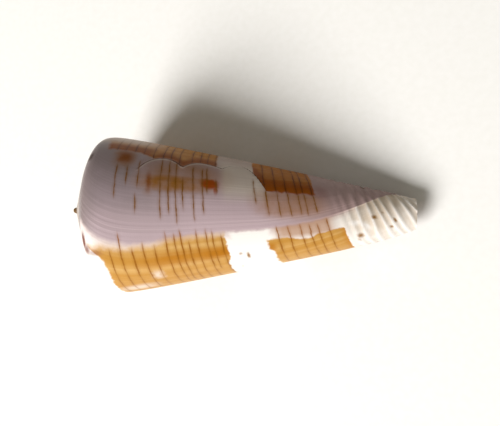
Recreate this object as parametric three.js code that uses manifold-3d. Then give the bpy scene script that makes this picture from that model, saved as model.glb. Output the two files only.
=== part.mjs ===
// A cone shell, lying on its aperture.
//
// The shell is one wall that coils round a straight axis and grows by the same ratio every turn.
// It is built on its own axis first: X runs from the apex (0) to the front tip, and the angle
// round X is zero at the outer lip and grows towards the older shell. Then it is laid down in its
// resting pose, +Z up, with the origin at the middle of its footprint. Millimetres.

import * as THREE from 'three';
import { LoftGeometry } from 'three/addons/geometries/LoftGeometry.js';
import { mergeGeometries, mergeVertices } from 'three/addons/utils/BufferGeometryUtils.js';
import Module from 'manifold-3d';

// ---- driving dimensions ----

const shellLength = 54;        // apex to front tip, along the axis
const growthPerTurn = 1.284;   // each whorl is this much larger than the one before
const spireTurns = 7;          // whorls that show on the spire
const apexKnob = 0.45;         // the first whorls end in a knob that stands this far proud

const sideStart = 15.87;       // radius of the straight side, carried back to the apex
const sideTaper = 0.2;         // radius lost per millimetre towards the tip
const sideBow = 0.00028;       // slight outward bow of the side
const rampStart = -3.0;        // the flat ramp above the shoulder, as a line of the same kind
const rampRise = 2.84;
const shoulderBlend = 3.7;     // how widely ramp and side round into the shoulder
const sutureAlong = 5.95;      // where the next whorl's ramp lands on this one

const columellaTip = 0.95;     // radius of the central pillar at the tip
const columellaFlare = 0.03;   // and how it thickens away from the tip
const columellaBlend = 0.5;    // how widely wall and pillar run into each other

const wallThickness = 0.95;
const lipThickness = 0.45;
const lipThinning = 0.14;      // turns over which the wall thins towards the lip
const parietalEtch = 0.12;     // the wall inside the aperture is dissolved this deep

const notchSweep = 0.045;      // turns: how far the lip draws back on the ramp
const frontSweep = 0.19;       // and at the front, beside the siphonal canal
const frontSweepStart = 31;    // along the axis

const cavityTurns = 0.84;
const cavityStart = 0.9;       // the hollow's spire end, as a share of the suture's place
const cavityGap = 0.2;         // least gap between the wall and the whorl within
const lipOverrun = 0.03;       // turns by which the hollow runs out past the lip
const tipOverrun = 2;          // and past the tip
const canalCloseStart = 0.4;   // turns: the canal is open at the tip up to here
const canalCloseEnd = 0.64;
const deepCavityEnd = 42;      // along the axis

const restPitch = 11.74;       // degrees, tip down, so that the side lies along the ground
const restRoll = 42.3;         // degrees, turned round the axis until the lip touches the ground
const rubDepth = 0.12;         // the lowest skin is rubbed flat

const slopeStep = 0.05;        // half the length over which a slope is measured
const groundDepth = 4;         // thickness of the block that rubs the skin flat
const weldDistance = 1e-4;     // points closer than this are one

const stepsPerTurn = 44;
const sideRows = 18;
const rampRows = 4;
const rowCrowding = 0.35;      // 1 spaces the side's rows evenly, less crowds them at the shoulder
const cavitySteps = 34;
const cavityRows = 13;

// ---- growth ----

const turn = 2 * Math.PI;
const scaleAt = (age) => Math.pow(growthPerTurn, -age);
const smooth = (from, to, value) => THREE.MathUtils.smoothstep(value, from, to);

// Facets stand outside the true curve, so the fine surface fits inside them.
const facetGrowth = 1 / Math.cos(Math.PI / stepsPerTurn);

// Radius of a full-sized whorl at a distance along the axis.
function whorlRadius(along) {
  const ramp = rampStart + rampRise * along;
  const side = sideStart - sideTaper * along - sideBow * along * along;
  return (ramp + side - Math.hypot(ramp - side, shoulderBlend)) / 2;
}

// On the ramp the radius is eased so that its inner edge lands on the whorl before.
const rampInner = sutureAlong / growthPerTurn;
const rampEase = whorlRadius(sutureAlong) / growthPerTurn - whorlRadius(rampInner);

function rampRadius(along) {
  return whorlRadius(along) + rampEase * (sutureAlong - along) / (sutureAlong - rampInner);
}

// Radius of the shell at an age in turns. The central pillar takes over near the tip.
function sideRadius(age, along) {
  const scale = scaleAt(age);
  const wall = scale * whorlRadius(along / scale);
  const pillar = columellaTip + columellaFlare * (shellLength - along);
  return (wall + pillar + Math.hypot(wall - pillar, columellaBlend)) / 2;
}

// How far the lip draws back at a place along it, in turns. It fades out over one turn.
function lipSweep(whorlAlong, along) {
  const notch = Math.sin(Math.PI * smooth(rampInner, 2 * sutureAlong - rampInner, whorlAlong));
  const front = Math.max(0, (along - frontSweepStart) / (shellLength - frontSweepStart));
  return notchSweep * notch + frontSweep * front * front;
}

function ageAt(growth, whorlAlong, along) {
  const fade = Math.max(0, 1 - growth);
  return growth + lipSweep(whorlAlong, along) * fade * fade;
}

function place(age, along, radius) {
  const angle = age * turn;
  return new THREE.Vector3(along, -radius * Math.cos(angle), radius * Math.sin(angle));
}

// ---- the closed outer skin ----

const rowSpread = (row) => THREE.MathUtils.lerp(row * row, row, rowCrowding);

function sidePoint(growth, row) {
  const first = scaleAt(growth) * sutureAlong;
  const along = THREE.MathUtils.lerp(first, shellLength, rowSpread(row));
  const age = ageAt(growth, along / scaleAt(growth), along);
  return place(age, along, facetGrowth * sideRadius(age, along));
}

function rampPoint(growth, row) {
  const whorlAlong = THREE.MathUtils.lerp(rampInner, sutureAlong, row);
  const age = ageAt(growth, whorlAlong, 0);
  const radius = rampRadius(whorlAlong);
  return place(age, scaleAt(age) * whorlAlong, facetGrowth * scaleAt(age) * radius);
}

// The outer edge of a ramp is the inner edge of the ramp one turn younger.
function rampSection(step) {
  const points = [];
  for (let row = 0; row < rampRows; row += 1) {
    points.push(rampPoint(step / stepsPerTurn, row / rampRows));
  }
  const younger = step - stepsPerTurn;
  const outer = younger < 0 ? rampPoint(step / stepsPerTurn, 1) : rampPoint(younger / stepsPerTurn, 0);
  points.push(outer);
  return points;
}

// The side starts on the ramp's outer edge and runs to the tip.
function sideSection(step) {
  const points = [rampSection(step).at(-1)];
  for (let row = 1; row <= sideRows; row += 1) {
    points.push(sidePoint(step / stepsPerTurn, row / sideRows));
  }
  return points;
}

function sections(count, makeSection) {
  return Array.from({ length: count + 1 }, (_, step) => makeSection(step));
}

function strip(rows) {
  return new LoftGeometry(rows, { closed: false });
}

// Closes a loop with a fan of triangles to one point.
function fan(loop, centre, loopFirst) {
  const middle = loop.map(() => centre);
  return new LoftGeometry(loopFirst ? [loop, middle] : [middle, loop], { closed: true });
}

function lipFace(sideRowsOfPoints) {
  const ramp = rampSection(0).slice(0, -1);
  const lip = [...ramp, ...sideRowsOfPoints[0]];
  const within = sideRowsOfPoints.at(-1);
  return strip([[...ramp.map(() => within[0]), ...within], lip]);
}

function apexCap(rampRowsOfPoints) {
  const lastTurn = rampRowsOfPoints.slice(-stepsPerTurn - 1, -1);
  const edge = lastTurn.map((row) => row[0]);
  const end = rampRowsOfPoints.at(-1).slice(0, -1);
  return fan([...edge, ...end], new THREE.Vector3(-apexKnob, 0, 0), true);
}

function tipCap(sideRowsOfPoints) {
  const edge = sideRowsOfPoints.map((row) => row.at(-1));
  return fan(edge, new THREE.Vector3(shellLength, 0, 0), false);
}

function makeSkin() {
  const side = sections(stepsPerTurn, sideSection);
  const ramp = sections(stepsPerTurn * spireTurns, rampSection);
  return mergeGeometries([strip(side), strip(ramp), lipFace(side), apexCap(ramp), tipCap(side)]);
}

// ---- the hollow inside the last whorl ----

// A point of the inner wall: the outer profile moved inwards by the wall's thickness.
function innerWallPoint(age, whorlAlong) {
  const scale = scaleAt(age);
  const along = scale * whorlAlong;
  const rise = sideRadius(age, along + slopeStep) - sideRadius(age, along - slopeStep);
  const slope = rise / (2 * slopeStep);
  const fromLip = age - lipSweep(whorlAlong, along);
  const thickness = THREE.MathUtils.lerp(lipThickness, wallThickness, smooth(0, lipThinning, fromLip));
  const inwards = thickness / Math.hypot(1, slope);
  return { along: along + slope * inwards, radius: sideRadius(age, along) - inwards };
}

function cavityEnd(age) {
  const closing = smooth(canalCloseStart, canalCloseEnd, age);
  return THREE.MathUtils.lerp(shellLength + tipOverrun, deepCavityEnd, closing);
}

// One crescent across the hollow: down the inner wall and back up the whorl within.
function crescent(step) {
  const age = THREE.MathUtils.lerp(-lipOverrun, cavityTurns, step / cavitySteps);
  const scale = scaleAt(age);
  const outer = [];
  const inner = [];
  for (let row = 0; row < cavityRows; row += 1) {
    const spread = rowSpread(row / (cavityRows - 1));
    const whorlAlong = THREE.MathUtils.lerp(cavityStart * sutureAlong, cavityEnd(age) / scale, spread);
    const wall = innerWallPoint(age, whorlAlong);
    const within = sideRadius(age + 1, wall.along) - parietalEtch;
    outer.push(place(age, wall.along, Math.max(wall.radius, within + cavityGap)));
    inner.push(place(age, wall.along, within));
  }
  return [...outer, ...inner.reverse()];
}

function makeHollow() {
  return new LoftGeometry(sections(cavitySteps, crescent), { capStart: true, capEnd: true });
}

// ---- solids ----

const wasm = await Module();
wasm.setup();

function distinctTriangles(index) {
  const kept = [];
  for (let i = 0; i < index.length; i += 3) {
    const [a, b, c] = [index[i], index[i + 1], index[i + 2]];
    if (a !== b && b !== c && c !== a) {
      kept.push(a, b, c);
    }
  }
  return kept;
}

function toSolid(geometry) {
  geometry.deleteAttribute('normal');
  geometry.deleteAttribute('uv');
  const merged = mergeVertices(geometry, weldDistance);
  const triVerts = new Uint32Array(distinctTriangles(merged.index.array));
  const vertProperties = new Float32Array(merged.attributes.position.array);
  return new wasm.Manifold(new wasm.Mesh({ numProp: 3, vertProperties, triVerts }));
}

function toGeometry(solid) {
  const mesh = solid.getMesh();
  const geometry = new THREE.BufferGeometry();
  geometry.setAttribute('position', new THREE.BufferAttribute(mesh.vertProperties, 3));
  geometry.setIndex(new THREE.BufferAttribute(mesh.triVerts, 1));
  geometry.computeVertexNormals();
  return geometry;
}

// Lays the shell down and gives back its lowest height: the ground's side is turned under the
// axis and the tip let down.
function layDown(geometry) {
  geometry.rotateX(THREE.MathUtils.degToRad(restRoll));
  geometry.rotateY(THREE.MathUtils.degToRad(restPitch));
  geometry.computeBoundingBox();
  return geometry.boundingBox.min.z;
}

// The block of ground that the lowest skin is rubbed down to.
function makeGround() {
  const ground = new THREE.BoxGeometry(3 * shellLength, 3 * shellLength, groundDepth);
  ground.translate(0, 0, -groundDepth / 2);
  return ground;
}

function makeShell() {
  const skin = makeSkin();
  const hollow = makeHollow();
  const lowest = layDown(skin);
  layDown(hollow);
  skin.translate(0, 0, -lowest - rubDepth);
  hollow.translate(0, 0, -lowest - rubDepth);
  const solid = toSolid(skin).subtract(toSolid(hollow)).subtract(toSolid(makeGround()));
  const geometry = toGeometry(solid);
  geometry.computeBoundingBox();
  const middle = geometry.boundingBox.getCenter(new THREE.Vector3());
  geometry.translate(-middle.x, -middle.y, 0);
  return geometry;
}

const glossyShell = new THREE.MeshStandardMaterial({ color: '#cfb9a8', roughness: 0.35, metalness: 0 });

const shell = new THREE.Mesh(makeShell(), glossyShell);
shell.name = 'shell';

const group = new THREE.Group();
group.add(shell);

export default group;
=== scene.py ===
import math
import bmesh
import bpy
from mathutils import Euler, Matrix, Vector


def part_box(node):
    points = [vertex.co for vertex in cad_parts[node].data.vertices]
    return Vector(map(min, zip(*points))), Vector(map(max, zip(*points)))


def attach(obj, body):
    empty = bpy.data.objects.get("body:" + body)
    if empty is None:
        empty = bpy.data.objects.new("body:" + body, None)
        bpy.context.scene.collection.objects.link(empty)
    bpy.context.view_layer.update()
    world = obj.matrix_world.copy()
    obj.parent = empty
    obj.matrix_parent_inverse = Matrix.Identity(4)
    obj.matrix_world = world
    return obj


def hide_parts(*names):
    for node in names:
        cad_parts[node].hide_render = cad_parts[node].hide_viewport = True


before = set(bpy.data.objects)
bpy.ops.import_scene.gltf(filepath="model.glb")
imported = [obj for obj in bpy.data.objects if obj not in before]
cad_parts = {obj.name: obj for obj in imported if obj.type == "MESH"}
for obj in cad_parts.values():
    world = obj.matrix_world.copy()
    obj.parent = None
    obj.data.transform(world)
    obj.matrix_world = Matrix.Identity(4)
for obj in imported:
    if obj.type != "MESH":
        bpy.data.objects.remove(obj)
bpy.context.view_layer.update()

# Lengths are in millimetres until a finished mesh is laid down, and ages are in turns back from
# the outer lip: 0 is the lip, 1 is the shell right under it.

shellForm = {
    "length": 54.0,            # apex to front tip, along the axis
    "growth": 1.284,           # each whorl is this much larger than the one before
    "spireTurns": 9,
    "sideStart": 15.87, "sideTaper": 0.2, "sideBow": 0.00028,
    "rampStart": -3.0, "rampRise": 2.84, "shoulderBlend": 3.7,
    "suture": 5.95,            # where the next whorl's ramp lands on this one
    "pillar": 0.95, "pillarFlare": 0.03, "pillarBlend": 0.5,
    "wall": 0.95, "lip": 0.45, "lipThinning": 0.14, "tipThinning": 6.0,
    "rimBulge": 0.35,          # share of the lip's thickness
    "innerStart": 0.9,         # share of the suture where the inner wall starts
    "clearance": 0.08,         # kept between the inner wall and the whorl under it
    "notch": 0.045, "front": 0.19, "frontFrom": 31.0,
    "knob": [(0.48, 0.12), (0.44, -0.15), (0.31, -0.33), (0.12, -0.41)],   # radius, along
    "hollowSteps": 122,         # half a turn deep
    "inset": 0.07,             # keeps raised lines inside the solid's own box
    "pitch": 11.74, "roll": 42.3,
    "topGap": 0.02,            # how far under the solid's highest point it is laid
    "stepsPerTurn": 200, "sideRows": 160, "rampRows": 8, "cornerRow": 8,
    "stepCrowding": 0.08, "crowdAge": 0.42,   # steps stand closer together round this age
    "rowCrowding": 0.045,                     # and rows at the shoulder and the front
    "mergeGap": 0.002, "creaseAngle": 55.0,
}

surfaceRelief = {
    "ribsFrom": 43.5, "ribsFull": 50.0, "ribSpacing": 1.55, "ribHeight": 0.17,
    "ribSharpness": 3.5, "ribSway": 0.15, "ribSwayRate": 9.0,
    "stepAge": 0.312, "stepDepth": 0.10,      # the step at a former lip
    "scarHeight": 0.12, "scarWidth": 0.0040,  # the healed break's raised seam, in mm and turns
    "scarBank": 0.55, "scarDitch": 0.35,      # shares of it on the younger and the older side
    "waves": 0.009,                           # faint ridges along former lips
    "slowWaves": 21.0, "quickWaves": 83.0,    # ridges in a turn
    "crowdTime": 0.325, "crowdSpread": 0.022,  # where the quick ridges stand higher
    "lipRelief": 0.6,                         # share of the relief that shows inside the lip
}

# The healed break, as (along, age): each arch runs from a cusp over a peak to the next cusp.
breakCusps = [(15.0, 0.450), (22.2, 0.470), (28.7, 0.484), (35.6, 0.424)]
breakPeaks = [(19.4, 0.492), (25.4, 0.495), (31.7, 0.510)]


def smooth(low, high, value):
    share = min(1.0, max(0.0, (value - low) / (high - low)))
    return share * share * (3.0 - 2.0 * share)


def lerp(first, second, share):
    return first + (second - first) * share


def scaleAt(age):
    return shellForm["growth"] ** -age


def whorlRadius(along):
    ramp = shellForm["rampStart"] + shellForm["rampRise"] * along
    side = shellForm["sideStart"] - shellForm["sideTaper"] * along - shellForm["sideBow"] * along ** 2
    return (ramp + side - math.hypot(ramp - side, shellForm["shoulderBlend"])) / 2.0


rampInner = shellForm["suture"] / shellForm["growth"]
rampEase = whorlRadius(shellForm["suture"]) / shellForm["growth"] - whorlRadius(rampInner)


def rampRadius(along):
    share = (shellForm["suture"] - along) / (shellForm["suture"] - rampInner)
    return whorlRadius(along) + rampEase * share


def sideRadius(age, along):
    scale = scaleAt(age)
    wall = scale * whorlRadius(along / scale)
    pillar = shellForm["pillar"] + shellForm["pillarFlare"] * (shellForm["length"] - along)
    return (wall + pillar + math.hypot(wall - pillar, shellForm["pillarBlend"])) / 2.0


# How far the lip draws back at a place along it.
def lipSweep(whorlAlong, along):
    notch = math.sin(math.pi * smooth(rampInner, 2.0 * shellForm["suture"] - rampInner, whorlAlong))
    front = max(0.0, (along - shellForm["frontFrom"]) / (shellForm["length"] - shellForm["frontFrom"]))
    return shellForm["notch"] * notch + shellForm["front"] * front * front


def ageAt(growth, whorlAlong, along):
    fade = max(0.0, 1.0 - growth)
    return growth + lipSweep(whorlAlong, along) * fade * fade


formerLip = {
    "shoulder": 0.055, "shoulderFrom": 6.3, "shoulderFade": 3.2,
    "front": 0.021, "frontCurl": 0.153, "frontFrom": 34.0, "frontReach": 22.0,
}


# Former lips had much the same line: drawn back a little at the shoulder and far back in front.
def formerSweep(whorlAlong):
    pastShoulder = max(0.0, whorlAlong - formerLip["shoulderFrom"])
    shoulder = formerLip["shoulder"] * math.exp(-pastShoulder / formerLip["shoulderFade"])
    front = max(0.0, (whorlAlong - formerLip["frontFrom"]) / formerLip["frontReach"])
    return shoulder + formerLip["front"] * front + formerLip["frontCurl"] * front ** 3


def arch(cusp, peak, along):
    share = min(1.0, max(0.0, (along - cusp[0]) / (peak[0] - cusp[0])))
    return cusp[1] + (peak[1] - cusp[1]) * (1.0 - (1.0 - share) ** 2)


def breakAge(along):
    place = min(breakCusps[-1][0], max(breakCusps[0][0], along))
    for peak, before, after in zip(breakPeaks, breakCusps, breakCusps[1:]):
        if place <= after[0]:
            return arch(before, peak, place) if place < peak[0] else arch(after, peak, place)
    return breakCusps[-1][1]


def ribRelief(age, whorlAlong):
    amount = smooth(surfaceRelief["ribsFrom"], surfaceRelief["ribsFull"], whorlAlong)
    if amount == 0.0:
        return 0.0
    sway = surfaceRelief["ribSway"] * math.sin(surfaceRelief["ribSwayRate"] * age + whorlAlong)
    ridge = 0.5 + 0.5 * math.cos(2.0 * math.pi * (whorlAlong / surfaceRelief["ribSpacing"] + sway))
    return amount * surfaceRelief["ribHeight"] * (ridge ** surfaceRelief["ribSharpness"] - 1.0)


def scarRelief(age, whorlAlong):
    first, last = breakCusps[0][0], breakCusps[-1][0]
    if not first - 1.0 < whorlAlong < last:
        return 0.0
    fade = smooth(first - 0.6, first + 1.5, whorlAlong) * (1.0 - smooth(last - 1.2, last, whorlAlong))
    gap = (age - breakAge(whorlAlong)) / surfaceRelief["scarWidth"]
    seam = math.exp(-gap * gap)
    bank = surfaceRelief["scarBank"] * smooth(-14.0, 0.0, gap) * (1.0 if gap < 0.0 else seam)
    ditch = -surfaceRelief["scarDitch"] * math.exp(-((gap - 2.2) / 1.3) ** 2)
    return fade * surfaceRelief["scarHeight"] * (seam + bank + ditch)


def formerLipRelief(lipTime, whorlAlong):
    gap = surfaceRelief["stepAge"] - lipTime
    amount = 0.25 + 0.75 * smooth(38.0, 47.0, whorlAlong)
    return -amount * surfaceRelief["stepDepth"] * smooth(0.0, 0.004, gap) * (1.0 - smooth(0.02, 0.2, gap))


def waveRelief(lipTime, whorlAlong):
    slowTurn = 2.0 * math.pi * surfaceRelief["slowWaves"] * lipTime
    quickTurn = 2.0 * math.pi * surfaceRelief["quickWaves"] * lipTime
    slow = math.sin(slowTurn + 1.3 * math.sin(17.0 * lipTime))
    quick = math.sin(quickTurn + 2.0 * math.sin(41.0 * lipTime))
    crowd = math.exp(-((lipTime - surfaceRelief["crowdTime"]) / surfaceRelief["crowdSpread"]) ** 2)
    shoulder = 1.0 + 1.8 * math.exp(-((whorlAlong - 8.0) / 4.0) ** 2)
    return surfaceRelief["waves"] * (0.6 * slow + (0.35 + 1.2 * crowd * shoulder) * quick - 1.0)


def reliefAt(age, whorlAlong):
    lipTime = age - formerSweep(whorlAlong)
    fade = smooth(shellForm["suture"], shellForm["suture"] + 1.2, whorlAlong)
    total = ribRelief(age, whorlAlong) + scarRelief(age, whorlAlong)
    total += formerLipRelief(lipTime, whorlAlong) + waveRelief(lipTime, whorlAlong)
    return fade * total


def place(age, along, radius):
    angle = 2.0 * math.pi * age
    return Vector((along, -radius * math.cos(angle), radius * math.sin(angle)))


# Rows crowd at the shoulder and at the front, where the shell turns or is ribbed.
def rowSpread(row):
    return row - shellForm["rowCrowding"] * math.sin(2.0 * math.pi * row)


# Steps crowd round the healed break and the former lip, the same in every turn.
def stepAge(step):
    turn = step / shellForm["stepsPerTurn"]
    crowding, middle = shellForm["stepCrowding"], shellForm["crowdAge"]
    wave = math.sin(2.0 * math.pi * (turn - middle)) + math.sin(2.0 * math.pi * middle)
    return turn - crowding * wave


def sideSpot(growth, row):
    first = scaleAt(growth) * shellForm["suture"]
    along = lerp(first, shellForm["length"], rowSpread(row))
    age = ageAt(growth, along / scaleAt(growth), along)
    return age, along


def sidePoint(growth, row):
    age, along = sideSpot(growth, row)
    whorlAlong = along / scaleAt(age)
    radius = sideRadius(age, along) - shellForm["inset"] * scaleAt(age)
    spot = (age, whorlAlong, smooth(1.0, 1.03, growth))
    return place(age, along, radius + reliefAt(age, whorlAlong)), spot


def rampPoint(growth, row):
    whorlAlong = lerp(rampInner, shellForm["suture"], row)
    age = ageAt(growth, whorlAlong, 0.0)
    scale = scaleAt(age)
    inset = shellForm["inset"] * lerp(1.0 / shellForm["growth"], 1.0, row)
    radius = scale * (rampRadius(whorlAlong) - inset)
    return place(age, scale * whorlAlong, radius), (age, whorlAlong, 0.0)


# The two meet in one outer line, so the ramp's edge is taken from the side's first row.
def outerPoint(growth, row):
    if row > 0.0:
        return sidePoint(growth, row)
    return rampPoint(growth, 1.0) if growth < 1.0 else rampPoint(growth - 1.0, 0.0)


def innerPoint(growth, row):
    rows = shellForm["rampRows"] + shellForm["sideRows"]
    index = round(row * rows)
    if index == 0:
        corner, _ = sidePoint(growth + 1.0, shellForm["cornerRow"] / shellForm["sideRows"])
        return corner, (growth, shellForm["suture"], 1.0)
    first = shellForm["innerStart"] * scaleAt(growth) * shellForm["suture"]
    spread = rowSpread((index - 1) / (rows - 1))
    outerAlong = lerp(first, shellForm["length"], spread)
    age = ageAt(growth, outerAlong / scaleAt(growth), outerAlong)
    whorlAlong = outerAlong / scaleAt(age)
    step = 0.05
    slope = (sideRadius(age, outerAlong + step) - sideRadius(age, outerAlong - step)) / (2.0 * step)
    thin = smooth(0.0, shellForm["lipThinning"], growth)
    thickness = lerp(shellForm["lip"], shellForm["wall"], thin) / math.hypot(1.0, slope)
    tip = shellForm["length"]
    reach = 1.0 - smooth(tip - shellForm["tipThinning"], tip, outerAlong)
    along = min(tip, outerAlong + slope * thickness * max(reach, float(slope > 0.0)))
    radius = sideRadius(age, outerAlong) - shellForm["inset"] * scaleAt(age) - thickness
    radius += surfaceRelief["lipRelief"] * reliefAt(age, whorlAlong) * (1.0 - thin)
    within = sideRadius(age + 1.0, along) + shellForm["clearance"]
    return place(age, along, max(radius, within)), (age, whorlAlong, 1.0)


def rimPoint(across, row):
    rows = shellForm["rampRows"] + shellForm["sideRows"]
    index = round(row * rows)
    if index <= shellForm["rampRows"]:
        outer, spot = rampPoint(0.0, index / shellForm["rampRows"])
    else:
        outer, spot = sidePoint(0.0, (index - shellForm["rampRows"]) / shellForm["sideRows"])
    inner, _ = innerPoint(0.0, row)
    point = outer.lerp(inner, across)
    if 0.0 < across < 1.0:
        forward = Vector((0.0, -point.z, point.y)).normalized()
        point = point + forward * (shellForm["rimBulge"] * (outer - inner).length)
    return point, (spot[0], spot[1], across)


# Lays a flat grid over the shell: along it runs the growth, across it the rows.
def layGrid(shellMesh, layers, steps, rows, growthAt, pointAt, keep=None):
    made = bmesh.ops.create_grid(shellMesh, x_segments=steps, y_segments=rows, size=0.5)
    gridPlaces = {}
    for vert in made["verts"]:
        step = round((vert.co.x + 0.5) * steps)
        row = round((vert.co.y + 0.5) * rows)
        gridPlaces[vert] = (step, row)
    faces = {face for vert in made["verts"] for face in vert.link_faces}
    spots = {}
    for vert, (step, row) in gridPlaces.items():
        vert.co, spots[vert] = pointAt(growthAt(step), row / rows)
    for face in faces:
        for loop in face.loops:
            age, whorlAlong, inside = spots[loop.vert]
            loop[layers["age"]] = age
            loop[layers["along"]] = whorlAlong
            loop[layers["lipTime"]] = age - formerSweep(whorlAlong)
            loop[layers["breakGap"]] = age - breakAge(whorlAlong)
            loop[layers["inside"]] = inside
    if keep:
        gone = [face for face in faces if not all(keep(*gridPlaces[vert]) for vert in face.verts)]
        bmesh.ops.delete(shellMesh, geom=gone, context="FACES")


def openEdges(shellMesh):
    return [edge for edge in shellMesh.edges if edge.is_boundary]


# The first whorls are too small to show, so a cone and a round knob end the spire.
def raiseKnob(shellMesh, cap):
    for radius, along in shellForm["knob"]:
        cap = bmesh.ops.extrude_discrete_faces(shellMesh, faces=[cap])["faces"][0]
        for vert in cap.verts:
            share = radius / math.hypot(vert.co.y, vert.co.z)
            vert.co = Vector((along, vert.co.y * share, vert.co.z * share))


# The hollow's deep end and the open tip are two loops once their shared edge is drawn.
def closeEnds(shellMesh):
    depth = stepAge(shellForm["hollowSteps"])
    deepInner, _ = innerPoint(depth, 1.0)
    deepOuter, _ = sidePoint(depth + 1.0, 1.0)
    rim = {vert for edge in openEdges(shellMesh) for vert in edge.verts}
    pair = [min(rim, key=lambda vert: (vert.co - spot).length) for spot in (deepInner, deepOuter)]
    shellMesh.edges.new(pair)
    edges = [edge for edge in shellMesh.edges if len(edge.link_faces) < 2]
    filled = bmesh.ops.holes_fill(shellMesh, edges=edges, sides=0)["faces"]
    apex = min(filled, key=lambda face: face.calc_center_median().x)
    raiseKnob(shellMesh, apex)


def layDown(shellMesh):
    turned = Matrix.Rotation(math.radians(shellForm["pitch"]), 4, "Y")
    turned = turned @ Matrix.Rotation(math.radians(shellForm["roll"]), 4, "X")
    bmesh.ops.transform(shellMesh, matrix=Matrix.Scale(0.001, 4) @ turned, verts=shellMesh.verts)
    lowest = Vector([min(vert.co[axis] for vert in shellMesh.verts) for axis in range(3)])
    highest = Vector([max(vert.co[axis] for vert in shellMesh.verts) for axis in range(3)])
    cadLow, cadHigh = (Vector(corner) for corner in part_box("shell"))
    move = (cadLow + cadHigh) / 2.0 - (lowest + highest) / 2.0
    move.z = cadHigh.z - highest.z - shellForm["topGap"] * 0.001
    bmesh.ops.translate(shellMesh, vec=move, verts=shellMesh.verts)
    for vert in shellMesh.verts:
        vert.co.z = max(vert.co.z, cadLow.z)


def buildShell(material):
    perTurn, deep, corner = (shellForm[name] for name in ("stepsPerTurn", "hollowSteps", "cornerRow"))
    sideRows, rampRows = shellForm["sideRows"], shellForm["rampRows"]
    innerRows = rampRows + sideRows
    shellMesh = bmesh.new()
    layers = {name: shellMesh.loops.layers.float.new(name)
              for name in ("age", "along", "lipTime", "breakGap", "inside")}
    layGrid(shellMesh, layers, perTurn + deep, sideRows, stepAge, outerPoint,
            keep=lambda step, row: step <= perTurn or row >= corner)
    layGrid(shellMesh, layers, perTurn * shellForm["spireTurns"], rampRows, stepAge, rampPoint)
    layGrid(shellMesh, layers, deep, innerRows, stepAge, innerPoint)
    layGrid(shellMesh, layers, 2, innerRows, lambda step: step / 2, rimPoint)
    bmesh.ops.remove_doubles(shellMesh, verts=shellMesh.verts, dist=shellForm["mergeGap"])
    closeEnds(shellMesh)
    manySided = [face for face in shellMesh.faces if len(face.verts) > 4]
    bmesh.ops.triangulate(shellMesh, faces=manySided, ngon_method="EAR_CLIP")
    print("shell: open edges left", len(openEdges(shellMesh)))
    bmesh.ops.recalc_face_normals(shellMesh, faces=shellMesh.faces)
    layDown(shellMesh)
    for face in shellMesh.faces:
        face.smooth = True
    crease = math.radians(shellForm["creaseAngle"])
    for edge in shellMesh.edges:
        edge.smooth = not edge.is_manifold or edge.calc_face_angle() < crease
    mesh = bpy.data.meshes.new("coneShell")
    shellMesh.to_mesh(mesh)
    shellMesh.free()
    mesh.materials.append(material)
    shell = bpy.data.objects.new("coneShell", mesh)
    bpy.context.scene.collection.objects.link(shell)
    print("shell: faces", len(mesh.polygons))
    return shell


def addNode(tree, kind, **settings):
    node = tree.nodes.new(kind)
    for name, value in settings.items():
        setattr(node, name, value)
    return node


# Joins a socket to another one, or sets it to a plain value.
def feed(tree, socket, value):
    if isinstance(value, bpy.types.NodeSocket):
        tree.links.new(value, socket)
    else:
        socket.default_value = value


def calc(tree, operation, *values):
    node = addNode(tree, "ShaderNodeMath", operation=operation)
    for socket, value in zip(node.inputs, values):
        feed(tree, socket, value)
    return node.outputs[0]


def times(tree, first, *others):
    for other in others:
        first = calc(tree, "MULTIPLY", first, other)
    return first


# 0 below the first edge and 1 above the second, with a soft passage; edges may be sockets.
def rise(tree, value, low, high):
    node = addNode(tree, "ShaderNodeMapRange", interpolation_type="SMOOTHSTEP")
    feed(tree, node.inputs["Value"], value)
    feed(tree, node.inputs["From Min"], low)
    feed(tree, node.inputs["From Max"], high)
    return node.outputs["Result"]


def window(tree, value, start, end, soft):
    return times(tree, rise(tree, value, start - soft, start + soft),
                 rise(tree, value, end + soft, end - soft))


def mixColour(tree, share, first, second):
    node = addNode(tree, "ShaderNodeMix", data_type="RGBA", blend_type="MIX")
    feed(tree, node.inputs[0], share)
    feed(tree, node.inputs[6], first)
    feed(tree, node.inputs[7], second)
    return node.outputs[2]


def joinVector(tree, x, y, z=0.0):
    node = addNode(tree, "ShaderNodeCombineXYZ")
    for socket, value in zip(node.inputs, (x, y, z)):
        feed(tree, socket, value)
    return node.outputs[0]


# Noise from about -1 to 1.
def noise(tree, vector, scale, detail=2.0):
    node = addNode(tree, "ShaderNodeTexNoise", noise_dimensions="3D")
    feed(tree, node.inputs["Vector"], vector)
    feed(tree, node.inputs["Scale"], scale)
    feed(tree, node.inputs["Detail"], detail)
    centred = calc(tree, "SUBTRACT", node.outputs["Fac"], 0.5)
    return calc(tree, "MULTIPLY", centred, 2.6)


# Noise drawn out along former lips: cells across growth and cells along the axis.
def grownNoise(tree, skin, perTurn, perMillimetre, seed, detail=2.0):
    across = calc(tree, "MULTIPLY", skin["lipTime"], perTurn)
    down = calc(tree, "MULTIPLY", skin["along"], perMillimetre)
    return noise(tree, joinVector(tree, across, down, seed), 1.0, detail)


# A node group with named number inputs and one output, "Ink".
def newGroup(name, inputs):
    tree = bpy.data.node_groups.new(name, "ShaderNodeTree")
    for label in inputs:
        tree.interface.new_socket(label, in_out="INPUT", socket_type="NodeSocketFloat")
    tree.interface.new_socket("Ink", in_out="OUTPUT", socket_type="NodeSocketFloat")
    return tree, addNode(tree, "NodeGroupInput").outputs


def reachFrom(tree, value, middle, half):
    gap = calc(tree, "ABSOLUTE", calc(tree, "SUBTRACT", value, middle))
    return calc(tree, "DIVIDE", gap, half)


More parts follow.
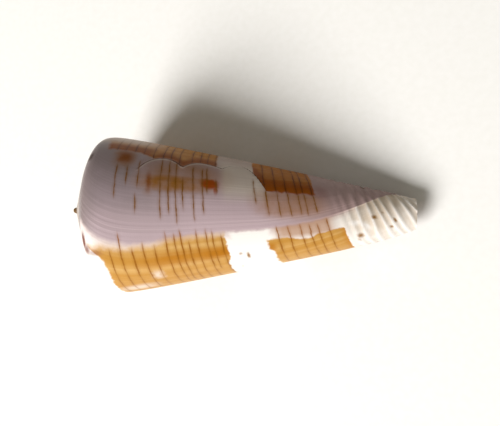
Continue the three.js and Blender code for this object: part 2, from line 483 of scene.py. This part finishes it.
# A spot or patch: a full oval in along and age with a soft edge.
def makePatchGroup():
    names = ("Along", "Age", "Middle along", "Middle age", "Half along", "Half age", "Soft")
    tree, given = newGroup("patch", names)
    reaches = [reachFrom(tree, given[0], given[2], given[4]), reachFrom(tree, given[1], given[3], given[5])]
    distance = calc(tree, "ADD", *[calc(tree, "POWER", reach, 2.5) for reach in reaches])
    distance = calc(tree, "POWER", distance, 0.4)
    inner, outer = (calc(tree, how, 1.0, given["Soft"]) for how in ("SUBTRACT", "ADD"))
    ink = rise(tree, distance, outer, inner)
    tree.links.new(ink, addNode(tree, "NodeGroupOutput").inputs["Ink"])
    return tree


# A fine line round the shell with a faint stain beside it, fading at its two ends.
def makeLineGroup():
    tree, given = newGroup("line", ("Along", "Age", "Line", "Youngest", "Oldest", "Half width", "Taper"))
    fromYoung = calc(tree, "SUBTRACT", given["Age"], given["Youngest"])
    fromOld = calc(tree, "SUBTRACT", given["Oldest"], given["Age"])
    before = calc(tree, "MULTIPLY", given["Taper"], -0.5)
    after = calc(tree, "MULTIPLY", given["Taper"], 0.5)
    ends = times(tree, rise(tree, fromYoung, before, after), rise(tree, fromOld, before, after))
    reach = reachFrom(tree, given["Along"], given["Line"], given["Half width"])
    stained = times(tree, rise(tree, reach, 4.5, 1.0), 0.28)
    ink = times(tree, calc(tree, "MAXIMUM", rise(tree, reach, 1.7, 0.3), stained), ends)
    tree.links.new(ink, addNode(tree, "NodeGroupOutput").inputs["Ink"])
    return tree


def addMark(tree, group, *values):
    node = addNode(tree, "ShaderNodeGroup", node_tree=group)
    for socket, value in zip(node.inputs, values):
        feed(tree, socket, value)
    return node.outputs["Ink"]


# Thin spiral lines, as (along, youngest age, oldest age).
def drawLines(tree, group, where, halfWidth, lines):
    ink = 0.0
    for line in lines:
        mark = addMark(tree, group, *where, *line, halfWidth, skinMarks["lineTaper"])
        ink = calc(tree, "MAXIMUM", ink, mark)
    return ink


# Patches and spots, as (along, age, half along, half age, softness, strength).
def drawPatches(tree, group, where, patches):
    ink = 0.0
    for along, age, halfAlong, halfAge, soft, strength in patches:
        patch = addMark(tree, group, *where, along, age, halfAlong, halfAge, soft)
        ink = calc(tree, "MAXIMUM", ink, times(tree, patch, strength))
    return ink


def srgb(red, green, blue):
    shares = [value / 255.0 for value in (red, green, blue)]
    return (*[share / 12.92 if share <= 0.04045 else ((share + 0.055) / 1.055) ** 2.4
              for share in shares], 1.0)


skinColours = {
    "lilac": srgb(164, 147, 152), "greyLilac": srgb(153, 138, 140), "pinkLilac": srgb(187, 166, 171),
    "mauve": srgb(165, 138, 134), "beige": srgb(196, 176, 158), "pearl": srgb(204, 191, 180),
    "white": srgb(243, 238, 233), "pinkWhite": srgb(212, 194, 190), "cream": srgb(208, 190, 168),
    # the last colour on the next line is a darker lilac that paints shade on the shoulder and spire
    "salmon": srgb(176, 132, 100), "paintedShadeLilac": srgb(138, 124, 123),
    "orange": srgb(186, 134, 56), "deepOrange": srgb(172, 106, 8), "paleOrange": srgb(206, 164, 100),
    "tan": srgb(152, 98, 18), "oldBand": srgb(170, 110, 30), "oldBandTwo": srgb(164, 98, 10),
    "oldDark": srgb(136, 66, 0), "redBrown": srgb(152, 66, 0), "blob": srgb(132, 70, 0),
    "newLine": srgb(140, 84, 8), "middleLine": srgb(124, 78, 0), "oldLine": srgb(96, 46, 0),
    "spot": srgb(140, 94, 16), "stain": srgb(116, 62, 46), "darkSpot": srgb(60, 28, 6),
    # the first colour on the next line is the scar's brown, darkened as painted shadow
    "scarBrownAndShadow": srgb(72, 40, 18), "apex": srgb(112, 84, 52), "hollow": srgb(226, 206, 200),
}

# Everything drawn on the skin is placed by (along, age); band one is nearer the shoulder.
skinMarks = {
    "lineHalf": 0.085, "lineSwell": 0.07, "lineTaper": 0.020, "wobble": 0.13,
    "newLinesOne": [(10.5, 0.0, 0.285), (12.1, 0.0, 0.318), (13.9, 0.0, 0.285), (15.6, 0.0, 0.295),
                    (17.3, 0.0, 0.287), (19.2, 0.0, 0.315), (20.5, 0.0, 0.31), (21.5, 0.0, 0.318),
                    (22.6, 0.0, 0.29), (23.9, 0.0, 0.315), (25.4, 0.0, 0.315), (26.3, 0.19, 0.312),
                    (27.6, 0.0, 0.30)],
    "newLinesTwo": [(36.25, 0.0, 0.311), (38.0, 0.0, 0.311), (39.9, 0.0, 0.313), (41.3, 0.0, 0.312),
                    (42.6, 0.0, 0.31), (44.2, 0.0, 0.33)],
    "middleLines": [(11.8, 0.39, 0.46), (13.5, 0.417, 0.46), (15.3, 0.412, 0.474), (15.0, 0.360, 0.396),
                    (18.85, 0.348, 0.487), (20.15, 0.357, 0.487), (21.3, 0.335, 0.485),
                    (22.4, 0.365, 0.44), (24.0, 0.34, 0.478), (25.5, 0.357, 0.475),
                    (26.2, 0.408, 0.48), (27.7, 0.41, 0.445), (33.7, 0.385, 0.46),
                    (35.5, 0.35, 0.43), (37.3, 0.345, 0.425), (39.0, 0.345, 0.425),
                    (40.6, 0.35, 0.425), (41.6, 0.346, 0.425), (43.1, 0.355, 0.428)],
    "oldLines": [11.0, 12.5, 14.0, 15.5, 17.2, 18.85, 20.1, 21.6, 23.6, 25.0, 26.2, 27.5,
                 35.4, 37.15, 38.85, 40.45, 41.5, 42.95],
    "tanPatches": [(21.6, 0.428, 5.8, 0.022, 0.5, 0.95), (22.4, 0.452, 6.4, 0.044, 0.5, 0.6),
                   (26.0, 0.434, 1.9, 0.015, 0.5, 1.0), (17.0, 0.426, 0.7, 0.023, 0.8, 0.7),
                   (38.9, 0.388, 5.3, 0.046, 0.4, 0.6), (12.7, 0.483, 1.6, 0.023, 0.8, 0.8)],
    "redPatches": [(26.7, 0.431, 1.3, 0.013, 0.4, 0.95), (27.5, 0.424, 0.30, 0.018, 0.6, 0.8)],
    "blobs": [(12.8, 0.484, 1.1, 0.015, 0.8, 1.0), (17.0, 0.426, 0.36, 0.018, 0.9, 0.8)],
    "whitePatches": [(16.6, 0.208, 0.8, 0.012, 0.9, 0.5), (12.6, 0.165, 2.4, 0.012, 0.9, 0.5),
                     (48.4, 0.300, 0.8, 0.012, 0.9, 0.8), (49.9, 0.278, 0.5, 0.020, 0.9, 0.9),
                     (49.4, 0.215, 0.6, 0.030, 0.9, 0.6)],
    "spots": [(48.45, 0.229, 0.48, 0.012, 0.9, 0.9), (48.0, 0.205, 0.25, 0.012, 0.9, 0.5),
              (51.7, 0.324, 0.36, 0.009, 0.9, 0.95), (53.35, 0.349, 0.22, 0.006, 0.8, 0.4),
              (54.7, 0.298, 0.20, 0.014, 0.8, 0.95), (53.6, 0.256, 0.24, 0.008, 0.8, 0.85),
              (31.0, 0.226, 0.22, 0.010, 0.8, 0.95), (29.9, 0.237, 0.24, 0.004, 0.8, 0.6),
              (29.4, 0.178, 0.16, 0.003, 0.8, 0.6), (27.8, 0.098, 0.16, 0.003, 0.8, 0.6),
              (5.1, 0.16, 0.20, 0.008, 0.8, 0.6)],
    "darkSpots": [(6.8, 0.481, 0.45, 0.010, 0.7, 1.0), (52.7, 0.65, 0.35, 0.010, 0.6, 0.8),
                  (52.7, 0.535, 0.35, 0.016, 0.6, 0.9)],
    "stains": [(6.4, 0.303, 0.42, 0.018, 0.6, 1.0), (6.8, 0.287, 0.60, 0.010, 0.8, 0.85),
               (7.9, 0.282, 1.1, 0.006, 0.8, 0.55), (44.4, 0.44, 1.1, 0.03, 0.8, 0.35)],
}


def readSkin(tree):
    skin = {name: addNode(tree, "ShaderNodeAttribute", attribute_name=name).outputs["Fac"]
            for name in ("age", "along", "lipTime", "breakGap", "inside")}
    spot = addNode(tree, "ShaderNodeMapping")
    spot.inputs["Scale"].default_value = (1000.0, 1000.0, 1000.0)   # noise is then in millimetres
    tree.links.new(addNode(tree, "ShaderNodeTexCoord").outputs["Object"], spot.inputs["Vector"])
    skin["spot"] = spot.outputs["Vector"]
    skin["coarse"] = noise(tree, skin["spot"], 0.22)
    skin["ragged"] = noise(tree, skin["spot"], 1.1, 3.0)
    skin["fine"] = noise(tree, skin["spot"], 4.5, 3.0)
    skin["streaks"] = grownNoise(tree, skin, 150.0, 0.05, 3.0)
    skin["wideStreaks"] = grownNoise(tree, skin, 45.0, 0.03, 8.0)
    return skin


# Ages of the skin: "new" is since the former lip, "old" is before the healed break. Nearer the
# shoulder than the break reaches, the older skin begins at a colour edge instead.
def addZones(tree, skin):
    skin["tintTime"] = calc(tree, "MULTIPLY_ADD", rise(tree, skin["along"], 27.0, 13.0), 0.016,
                            skin["lipTime"])
    skin["new"] = rise(tree, skin["tintTime"], 0.3155, 0.3095)
    beyond = rise(tree, skin["along"], 17.2, 18.2)
    colourEdge = calc(tree, "MULTIPLY_ADD", skin["ragged"], 0.003, skin["age"])
    colourEdge = calc(tree, "MULTIPLY_ADD", rise(tree, skin["along"], 14.5, 18.0), 0.014, colourEdge)
    edged = times(tree, rise(tree, colourEdge, 0.499, 0.509), calc(tree, "SUBTRACT", 1.0, beyond))
    blur = calc(tree, "MULTIPLY_ADD", rise(tree, skin["along"], 35.2, 37.5), 0.006, 0.0006)
    gap = calc(tree, "MULTIPLY_ADD", times(tree, skin["ragged"], blur), 1.2, skin["breakGap"])
    sharp = rise(tree, gap, calc(tree, "MULTIPLY", blur, -1.0), blur)
    skin["old"] = calc(tree, "MULTIPLY_ADD", sharp, beyond, edged)
    skin["younger"] = calc(tree, "SUBTRACT", 1.0, skin["old"])
    skin["front"] = rise(tree, skin["along"], 43.5, 50.0)


def paintGround(tree, skin):
    colour = mixColour(tree, rise(tree, skin["coarse"], -0.7, 0.7), skinColours["greyLilac"],
                       skinColours["lilac"])
    pinker = times(tree, rise(tree, skin["along"], 12.0, 25.0), rise(tree, skin["age"], 0.52, 0.42))
    glow = times(tree, rise(tree, skin["age"], 0.40, 0.34), 0.7)
    colour = mixColour(tree, calc(tree, "MAXIMUM", pinker, glow), colour, skinColours["pinkLilac"])
    colour = mixColour(tree, times(tree, rise(tree, skin["along"], 33.0, 46.0), 0.85), colour,
                       skinColours["mauve"])
    paler = times(tree, skin["old"], rise(tree, skin["along"], 42.0, 33.0),
                  rise(tree, skin["along"], 7.0, 14.0), 0.5)
    colour = mixColour(tree, paler, colour, skinColours["beige"])
    # painted shade: the lilac darkens towards the shoulder
    colour = mixColour(tree, rise(tree, skin["along"], 9.5, 6.0), colour, skinColours["paintedShadeLilac"])
    haze = times(tree, window(tree, skin["along"], 28.6, 35.6, 0.9),
                 window(tree, skin["age"], 0.40, 0.52, 0.03), 0.95)
    colour = mixColour(tree, haze, colour, skinColours["pearl"])
    # the growth just before the former lip stands in fine pale threads
    crowd = window(tree, skin["lipTime"], 0.318, 0.345, 0.012)
    threads = times(tree, crowd, rise(tree, grownNoise(tree, skin, 330.0, 0.02, 5.0), 0.0, 1.0), 0.4)
    colour = mixColour(tree, threads, colour, skinColours["pinkWhite"])
    streaks = times(tree, rise(tree, skin["streaks"], 0.1, 1.2), 0.2)
    return mixColour(tree, streaks, colour, skinColours["greyLilac"])


# Newer skin is white, through a pinkish edge under the former lip.
def paintNewGround(tree, skin, colour):
    ragged = calc(tree, "MULTIPLY_ADD", skin["ragged"], 0.004, skin["tintTime"])
    whitening = rise(tree, ragged, 0.312, 0.278)
    late = window(tree, skin["along"], 28.8, 35.2, 0.7)
    quick = times(tree, late, rise(tree, ragged, 0.312, 0.300))
    whitening = calc(tree, "MAXIMUM", whitening, quick)
    fresh = mixColour(tree, whitening, skinColours["pinkWhite"], skinColours["white"])
    beforeBand = times(tree, window(tree, skin["along"], 36.0, 45.0, 1.2),
                       rise(tree, skin["age"], 0.25, 0.285), 0.8)
    fresh = mixColour(tree, beforeBand, fresh, skinColours["salmon"])
    lowDown = calc(tree, "MULTIPLY_ADD", rise(tree, skin["age"], 0.17, 0.27), 0.7, 0.3)
    creamy = times(tree, skin["front"], rise(tree, skin["coarse"], -0.9, 0.5), lowDown, 0.85)
    fresh = mixColour(tree, creamy, fresh, skinColours["cream"])
    entry = calc(tree, "MULTIPLY", skin["new"], rise(tree, ragged, 0.3145, 0.300))
    soft = calc(tree, "MAXIMUM", entry, times(tree, skin["new"], skin["front"]))
    return mixColour(tree, soft, colour, fresh)


# Painted light on the ribs at the front: a painted highlight whitens their crests, less so further back
# from the lip, and painted shade greys the skin between them.
def paintRibHighlightAndShade(tree, skin, colour):
    swing = calc(tree, "SINE", calc(tree, "MULTIPLY_ADD", skin["age"], surfaceRelief["ribSwayRate"],
                                    skin["along"]))
    phase = calc(tree, "MULTIPLY_ADD", skin["along"], 1.0 / surfaceRelief["ribSpacing"],
                 calc(tree, "MULTIPLY", swing, surfaceRelief["ribSway"]))
    crest = calc(tree, "COSINE", calc(tree, "MULTIPLY", phase, 2.0 * math.pi))
    onRibs = times(tree, rise(tree, skin["along"], 46.5, 50.0),
                   calc(tree, "MULTIPLY_ADD", skin["new"], 0.9, 0.1),
                   calc(tree, "MULTIPLY_ADD", rise(tree, skin["ragged"], -0.7, 0.3), 0.6, 0.4))
    # painted shade between the crests
    colour = mixColour(tree, times(tree, rise(tree, crest, 0.5, -0.2), onRibs, 0.45), colour,
                       skinColours["cream"])
    # painted highlight along the crests
    highlightStrength = calc(tree, "MULTIPLY_ADD", rise(tree, skin["age"], 0.30, 0.42), -0.5, 0.9)
    return mixColour(tree, times(tree, rise(tree, crest, 0.6, 0.98), onRibs, highlightStrength), colour,
                     skinColours["white"])


# The two orange bands of the newer skin, with ragged ends and a soft older edge.
def newBandShare(tree, skin, left, right, upper, soft):
    along = calc(tree, "MULTIPLY_ADD", skin["ragged"], 0.35, skin["along"])
    age = calc(tree, "MULTIPLY_ADD", skin["ragged"], 0.005, skin["age"])
    fromLeft = calc(tree, "SUBTRACT", along, left)
    fromRight = calc(tree, "SUBTRACT", right, along)
    fromUpper = calc(tree, "SUBTRACT", upper, age)
    return times(tree, rise(tree, fromLeft, -0.15, 0.35), rise(tree, fromRight, -0.08, 0.22),
                 rise(tree, fromUpper, -soft, soft))


def newBands(tree, skin):
    leftOne = calc(tree, "MULTIPLY_ADD", rise(tree, skin["age"], 0.255, 0.310), -2.8, 9.3)
    rightOne = calc(tree, "MULTIPLY_ADD", rise(tree, skin["age"], 0.205, 0.232), 0.5, 27.8)
    upperOne = calc(tree, "MULTIPLY_ADD", rise(tree, skin["along"], 16.5, 20.5), 0.013, 0.289)
    upperOne = calc(tree, "MULTIPLY_ADD", rise(tree, skin["along"], 12.5, 9.5), 0.008, upperOne)
    one = newBandShare(tree, skin, leftOne, rightOne, upperOne, 0.013)
    leftTwo = calc(tree, "MULTIPLY_ADD", rise(tree, skin["age"], 0.245, 0.22), 0.6, 34.3)
    dip = window(tree, skin["along"], 38.5, 41.7, 1.2)
    upperTwo = calc(tree, "MULTIPLY_ADD", rise(tree, skin["along"], 42.0, 46.5), 0.012, 0.273)
    upperTwo = calc(tree, "MULTIPLY_ADD", dip, -0.014, upperTwo)
    two = newBandShare(tree, skin, leftTwo, 46.6, upperTwo, 0.004)
    return calc(tree, "MAXIMUM", one, two)


def paintNewBands(tree, skin, group, colour):
    share = newBands(tree, skin)
    orange = mixColour(tree, rise(tree, skin["wideStreaks"], -0.6, 0.9), skinColours["orange"],
                       skinColours["paleOrange"])
    patchy = calc(tree, "MULTIPLY_ADD", rise(tree, skin["coarse"], -0.6, 0.6), 0.4,
                  calc(tree, "MULTIPLY_ADD", rise(tree, skin["along"], 17.0, 26.0), 0.4, 0.2))
    ripe = times(tree, window(tree, skin["age"], 0.232, 0.266, 0.012), patchy,
                 window(tree, skin["along"], 14.5, 29.0, 1.5))
    ripeTwo = times(tree, window(tree, skin["along"], 33.0, 35.4, 0.5),
                    window(tree, skin["age"], 0.230, 0.256, 0.008), 0.7)
    ripeTwo = calc(tree, "MAXIMUM", ripeTwo, times(tree, rise(tree, skin["along"], 45.4, 46.4), 0.5))
    orange = mixColour(tree, calc(tree, "MAXIMUM", ripe, ripeTwo), orange, skinColours["deepOrange"])
    streaks = times(tree, rise(tree, skin["streaks"], 0.3, 0.9), 0.7)
    orange = mixColour(tree, streaks, orange, skinColours["paleOrange"])
    colour = mixColour(tree, share, colour, orange)
    where = (calc(tree, "MULTIPLY_ADD", skin["ragged"], 0.6, skin["along"]), skin["age"])
    worn = drawPatches(tree, group, where, skinMarks["whitePatches"])
    return mixColour(tree, worn, colour, skinColours["white"])


# Tints between the former lip and the healed break.
def paintMiddle(tree, skin, group, colour):
    along = calc(tree, "MULTIPLY_ADD", skin["ragged"], 0.25, skin["along"])
    age = calc(tree, "MULTIPLY_ADD", skin["ragged"], 0.003, skin["age"])
    where = (along, age)
    drifts = rise(tree, noise(tree, skin["spot"], 0.55), -0.8, 0.6)
    drifts = calc(tree, "MULTIPLY_ADD", drifts, 0.35, 0.65)
    for name, tint in (("tanPatches", "tan"), ("redPatches", "redBrown"), ("blobs", "blob")):
        ink = drawPatches(tree, group, where, skinMarks[name])
        share = drifts if tint == "tan" else 1.0
        colour = mixColour(tree, times(tree, ink, skin["younger"], share), colour, skinColours[tint])
    return colour


# Before the break both bands are darker, most of all right at the break.
def addOldBands(tree, skin):
    along = calc(tree, "MULTIPLY_ADD", skin["ragged"], 0.3, skin["along"])
    fromLeft = calc(tree, "MULTIPLY_ADD", rise(tree, skin["age"], 0.50, 0.62), 2.2, along)
    skin["oldOne"] = times(tree, rise(tree, fromLeft, 9.0, 10.0), rise(tree, along, 27.95, 27.45))
    skin["oldTwo"] = window(tree, along, 33.8, 43.5, 0.2)
    skin["oldBands"] = times(tree, calc(tree, "MAXIMUM", skin["oldOne"], skin["oldTwo"]), skin["old"])
    skin["faded"] = times(tree, window(tree, skin["age"], 0.538, 0.70, 0.018),
                          rise(tree, skin["along"], 20.0, 13.0))


def paintOldBands(tree, skin, colour):
    band = mixColour(tree, skin["oldTwo"], skinColours["oldBand"], skinColours["oldBandTwo"])
    band = mixColour(tree, times(tree, rise(tree, skin["wideStreaks"], -0.3, 0.9), 0.35), band,
                     skinColours["paleOrange"])
    depth = calc(tree, "MULTIPLY_ADD", skin["oldTwo"], 0.035, 0.040)
    nearBreak = times(tree, rise(tree, skin["breakGap"], depth, calc(tree, "MULTIPLY", depth, 0.4)),
                      rise(tree, skin["along"], 16.0, 18.5))
    nearEdge = times(tree, window(tree, skin["age"], 0.490, 0.530, 0.010),
                     rise(tree, skin["along"], 18.5, 16.0))
    near = times(tree, calc(tree, "MAXIMUM", nearBreak, nearEdge), 0.85)
    band = mixColour(tree, near, band, skinColours["oldDark"])
    worn = calc(tree, "MULTIPLY_ADD", rise(tree, skin["coarse"], 0.3, 1.0), -0.25, 1.0)
    worn = calc(tree, "MULTIPLY_ADD", skin["faded"], -0.85, worn)
    colour = mixColour(tree, times(tree, skin["faded"], skin["old"], 0.6), colour, skinColours["beige"])
    return mixColour(tree, times(tree, skin["oldBands"], worn), colour, band)


def paintLines(tree, skin, group, colour):
    drift = noise(tree, joinVector(tree, calc(tree, "MULTIPLY", skin["age"], 34.0),
                                   calc(tree, "MULTIPLY", skin["along"], 0.35), 1.0), 1.0)
    along = calc(tree, "MULTIPLY_ADD", drift, skinMarks["wobble"], skin["along"])
    along = calc(tree, "MULTIPLY_ADD", skin["fine"], 0.03, along)
    where = (along, skin["age"])
    fade = rise(tree, noise(tree, skin["spot"], 0.7), -0.8, 0.5)
    fade = calc(tree, "MULTIPLY_ADD", fade, 0.5, 0.46)
    swell = rise(tree, noise(tree, joinVector(tree, calc(tree, "MULTIPLY", skin["age"], 26.0),
                                              calc(tree, "MULTIPLY", skin["along"], 0.7), 9.0), 1.0),
                 -0.8, 0.8)
    halfWidth = calc(tree, "MULTIPLY_ADD", swell, skinMarks["lineSwell"], skinMarks["lineHalf"])
    newer = drawLines(tree, group, where, halfWidth, skinMarks["newLinesOne"] + skinMarks["newLinesTwo"])
    low = calc(tree, "MULTIPLY_ADD", rise(tree, skin["age"], 0.14, 0.27), 0.35, 0.65)
    colour = mixColour(tree, times(tree, newer, fade, low), colour, skinColours["newLine"])
    middle = drawLines(tree, group, where, halfWidth, skinMarks["middleLines"])
    colour = mixColour(tree, times(tree, middle, fade, skin["younger"]), colour, skinColours["middleLine"])
    around = [(line, 0.2, 1.9) for line in skinMarks["oldLines"]]
    older = drawLines(tree, group, where, halfWidth, around)
    kept = calc(tree, "MULTIPLY_ADD", skin["faded"], -0.75, 1.0)
    return mixColour(tree, times(tree, older, fade, kept, skin["oldBands"]), colour,
                     skinColours["oldLine"])


def paintSpots(tree, skin, group, colour):
    along = calc(tree, "MULTIPLY_ADD", skin["fine"], 0.10, skin["along"])
    age = calc(tree, "MULTIPLY_ADD", skin["fine"], 0.0015, skin["age"])
    for name, tint in (("spots", "spot"), ("stains", "stain"), ("darkSpots", "darkSpot")):
        ink = drawPatches(tree, group, (along, age), skinMarks[name])
        colour = mixColour(tree, ink, colour, skinColours[tint])
    return colour


# The break healed as a fine dark line on its older side, the scar's brown darkened by painted shadow beyond
# the raised seam, and a pale line on its younger side, a painted highlight on the seam's lit face.
def paintScar(tree, skin, colour):
    reach = window(tree, skin["along"], 15.2, 35.4, 0.6)
    brownAndShadow = times(tree, window(tree, skin["breakGap"], 0.0006, 0.0055, 0.0014), reach, 0.9)
    pale = times(tree, window(tree, skin["breakGap"], -0.0040, -0.0006, 0.0012), reach, 0.45)
    # painted shadow over the scar's brown, on the older side
    colour = mixColour(tree, brownAndShadow, colour, skinColours["scarBrownAndShadow"])
    # painted highlight on the younger side
    return mixColour(tree, pale, colour, skinColours["pearl"])


# The spire is pale, with sparse brown flames, and its tip is brown; its youngest turn is a darker lilac,
# painted shade.
def paintSpire(tree, skin, colour):
    onSpire = rise(tree, calc(tree, "MULTIPLY_ADD", skin["ragged"], 0.35, skin["along"]), 6.4, 5.2)
    # painted shade: from about a third of a turn back, the spire's skin is a darker lilac
    pale = mixColour(tree, rise(tree, skin["age"], 0.30, 0.34), skinColours["white"], skinColours["paintedShadeLilac"])
    pale = mixColour(tree, rise(tree, skin["age"], 0.9, 1.6), pale, skinColours["pearl"])
    flameSpot = joinVector(tree, calc(tree, "MULTIPLY", skin["age"], 7.0),
                           calc(tree, "MULTIPLY", skin["along"], 0.45), 4.0)
    flames = rise(tree, noise(tree, flameSpot, 1.0, 3.0), 0.30, 0.52)
    flames = times(tree, flames, rise(tree, skin["age"], 0.33, 0.45), 0.8)
    pale = mixColour(tree, flames, pale, skinColours["tan"])
    pale = mixColour(tree, rise(tree, skin["age"], 4.0, 6.5), pale, skinColours["apex"])
    return mixColour(tree, onSpire, colour, pale)


def shellColour(tree, skin):
    patch, line = makePatchGroup(), makeLineGroup()
    colour = paintGround(tree, skin)
    colour = paintNewGround(tree, skin, colour)
    colour = paintRibHighlightAndShade(tree, skin, colour)
    colour = paintNewBands(tree, skin, patch, colour)
    colour = paintMiddle(tree, skin, patch, colour)
    colour = paintOldBands(tree, skin, colour)
    colour = paintScar(tree, skin, colour)
    colour = paintLines(tree, skin, line, colour)
    colour = paintSpire(tree, skin, colour)
    colour = paintSpots(tree, skin, patch, colour)
    return mixColour(tree, skin["inside"], colour, skinColours["hollow"])


shellSheen = {
    "roughness": 0.38, "roughnessDrift": 0.05, "frontRoughness": 0.08,   # added at the front
    "specular": 0.12, "bumpDepth": 0.000018,                             # metres
}


# Fine relief only: growth threads, faint spiral threads and wear pits, all under 0.03 mm.
def shellBump(tree, skin):
    threads = grownNoise(tree, skin, 260.0, 0.03, 6.0)
    spirals = noise(tree, joinVector(tree, calc(tree, "MULTIPLY", skin["age"], 1.5),
                                     calc(tree, "MULTIPLY", skin["along"], 1.6), 2.0), 1.0)
    height = calc(tree, "MULTIPLY_ADD", threads, 0.5, times(tree, spirals, 0.25))
    height = calc(tree, "MULTIPLY_ADD", skin["fine"], 0.12, height)
    bump = addNode(tree, "ShaderNodeBump")
    bump.inputs["Strength"].default_value = 1.0
    bump.inputs["Distance"].default_value = shellSheen["bumpDepth"]
    feed(tree, bump.inputs["Height"], height)
    return bump.outputs["Normal"]


def shellFinish():
    material = bpy.data.materials.new("shellFinish")
    material.use_nodes = True
    tree = material.node_tree
    shader = tree.nodes["Principled BSDF"]
    skin = readSkin(tree)
    addZones(tree, skin)
    addOldBands(tree, skin)
    tree.links.new(shellColour(tree, skin), shader.inputs["Base Color"])
    roughness = calc(tree, "MULTIPLY_ADD", skin["ragged"], shellSheen["roughnessDrift"],
                     shellSheen["roughness"])
    roughness = calc(tree, "MULTIPLY_ADD", skin["front"], shellSheen["frontRoughness"], roughness)
    feed(tree, shader.inputs["Roughness"], roughness)
    feed(tree, shader.inputs["Normal"], shellBump(tree, skin))
    shader.inputs["Specular IOR Level"].default_value = shellSheen["specular"]
    print("shell finish: nodes", len(tree.nodes))
    return material


# White paper with a faint tooth.
def paperFinish():
    material = bpy.data.materials.new("paper")
    material.use_nodes = True
    tree = material.node_tree
    shader = tree.nodes["Principled BSDF"]
    spot = addNode(tree, "ShaderNodeTexCoord").outputs["Object"]
    tone = rise(tree, noise(tree, spot, 900.0), -1.0, 1.0)
    feed(tree, shader.inputs["Base Color"], mixColour(tree, tone, srgb(242, 241, 237), srgb(246, 245, 242)))
    shader.inputs["Roughness"].default_value = 0.9
    return material


shell = buildShell(shellFinish())
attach(shell, "root")
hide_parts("shell")

# In metres and watts, but the camera's place is in millimetres and its turn in degrees.
stage = {
    "cameraPlace": (34.02, -1.9, 98.1), "cameraTurn": (1.4, 19.5, 0.2),
    "lens": 44.4, "nearest": 0.005,
    "floorHalf": 1.5,
    "windowPlace": (-0.30, -0.46, 0.53), "windowSize": 0.42, "windowPower": 8.8,
    "windowColour": (1.0, 0.985, 0.975),
    "roomLight": 0.20, "roomColour": (1.0, 0.95, 0.82, 1.0),
}


def addCamera():
    camera = bpy.data.objects.new("camera", bpy.data.cameras.new("camera"))
    camera.location = Vector(stage["cameraPlace"]) * 0.001
    camera.rotation_euler = Euler([math.radians(angle) for angle in stage["cameraTurn"]])
    camera.data.lens = stage["lens"]
    camera.data.clip_start = stage["nearest"]
    bpy.context.scene.collection.objects.link(camera)
    bpy.context.scene.camera = camera


def addFloor():
    floorMesh = bmesh.new()
    bmesh.ops.create_grid(floorMesh, x_segments=1, y_segments=1, size=stage["floorHalf"])
    mesh = bpy.data.meshes.new("floor")
    floorMesh.to_mesh(mesh)
    floorMesh.free()
    mesh.materials.append(paperFinish())
    floor = bpy.data.objects.new("floor", mesh)
    bpy.context.scene.collection.objects.link(floor)


def addLight():
    light = bpy.data.objects.new("window", bpy.data.lights.new("window", "AREA"))
    light.data.energy = stage["windowPower"]
    light.data.size = stage["windowSize"]
    light.data.color = stage["windowColour"]
    light.location = stage["windowPlace"]
    light.rotation_euler = (-light.location).to_track_quat("-Z", "Y").to_euler()
    bpy.context.scene.collection.objects.link(light)
    world = bpy.data.worlds.new("room")
    world.use_nodes = True
    background = world.node_tree.nodes["Background"]
    background.inputs["Color"].default_value = stage["roomColour"]
    background.inputs["Strength"].default_value = stage["roomLight"]
    bpy.context.scene.world = world
    bpy.context.scene.view_settings.view_transform = "Standard"


addCamera()
addFloor()
addLight()
print("stage: camera, floor and light are in")
